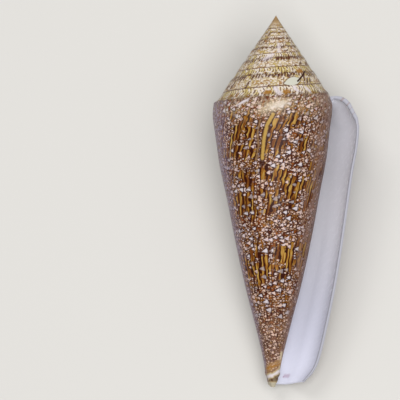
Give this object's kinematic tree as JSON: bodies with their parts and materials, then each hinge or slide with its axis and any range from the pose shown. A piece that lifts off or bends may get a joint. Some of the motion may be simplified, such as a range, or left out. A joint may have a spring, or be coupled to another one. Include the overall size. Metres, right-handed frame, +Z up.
{
  "type": "cone shell",
  "caption": "Slender cone sea shell with a pointed spire, fine brown netting over cream and ochre bands, and a long white aperture",
  "frame": {"origin": "on the surface that the shell lies on, under the middle of its bounding box", "axes": "+Z up, out of the aperture side; +Y along the shell towards the apex of the spire; +X towards the outer lip"},
  "size_m": [0.0436, 0.1084, 0.0394],
  "materials": {
    "shell": "glossy natural shell: cream and white ground under fine brown tented netting with three broken ochre bands, white porcelain inside"
  },
  "bodies": {
    "root": {"shell": "shell"}
  },
  "joints": []
}
